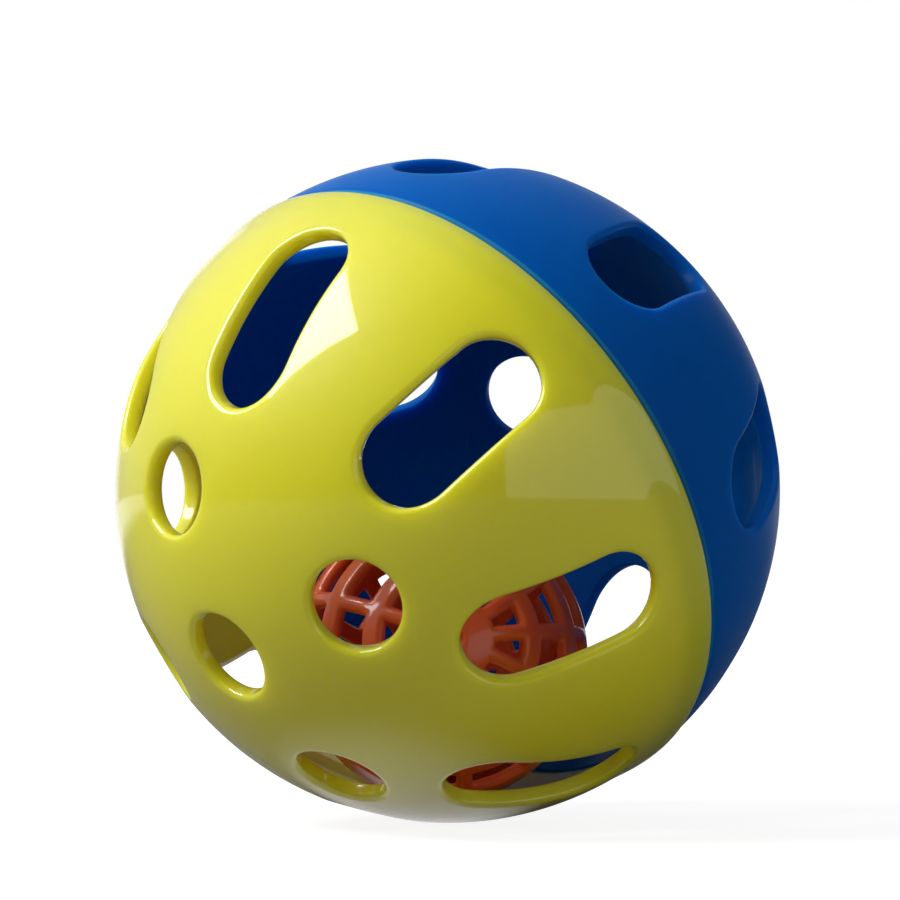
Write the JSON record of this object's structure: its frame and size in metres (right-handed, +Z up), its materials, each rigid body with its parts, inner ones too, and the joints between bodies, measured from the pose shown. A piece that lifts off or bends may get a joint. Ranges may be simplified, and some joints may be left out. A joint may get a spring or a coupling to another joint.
{
  "type": "rodent toy ball",
  "caption": "Hollow two-part plastic toy ball with slots and round holes, holding a loose lattice ball with a jingle bell.",
  "frame": {"origin": "centre of the outer ball, which is also the centre of its box", "axes": "+Z up with the ball lying as pictured, -Y towards the viewer and +X to the viewer's right"},
  "size_m": [0.09, 0.0897, 0.0898],
  "materials": {
    "yellow_plastic": "gloss",
    "blue_plastic": "gloss",
    "orange_plastic": "gloss",
    "plated_steel": "polished"
  },
  "bodies": {
    "shell": {"yellow_shell": "yellow_plastic", "blue_shell": "blue_plastic"},
    "lattice_ball": {"lattice_front_half": "orange_plastic", "lattice_back_half": "orange_plastic"},
    "bell": {"bell_cap": "plated_steel", "bell_cup": "plated_steel", "bell_loop": "plated_steel"},
    "pellet": {"bell_pellet": "plated_steel"}
  },
  "joints": [
    {"name": "lattice_ball_roll", "type": "hinge", "parent": "shell", "child": "lattice_ball", "pos_m": [0, 0, 0], "axis": [0, 1, 0], "continuous": true},
    {"name": "bell_roll", "type": "hinge", "parent": "lattice_ball", "child": "bell", "pos_m": [-0.00075, 0, -0.02249], "axis": [0, 1, 0], "continuous": true},
    {"name": "pellet_roll", "type": "hinge", "parent": "bell", "child": "pellet", "pos_m": [-0.00075, 0, -0.03269], "axis": [0, 1, 0], "continuous": true}
  ]
}
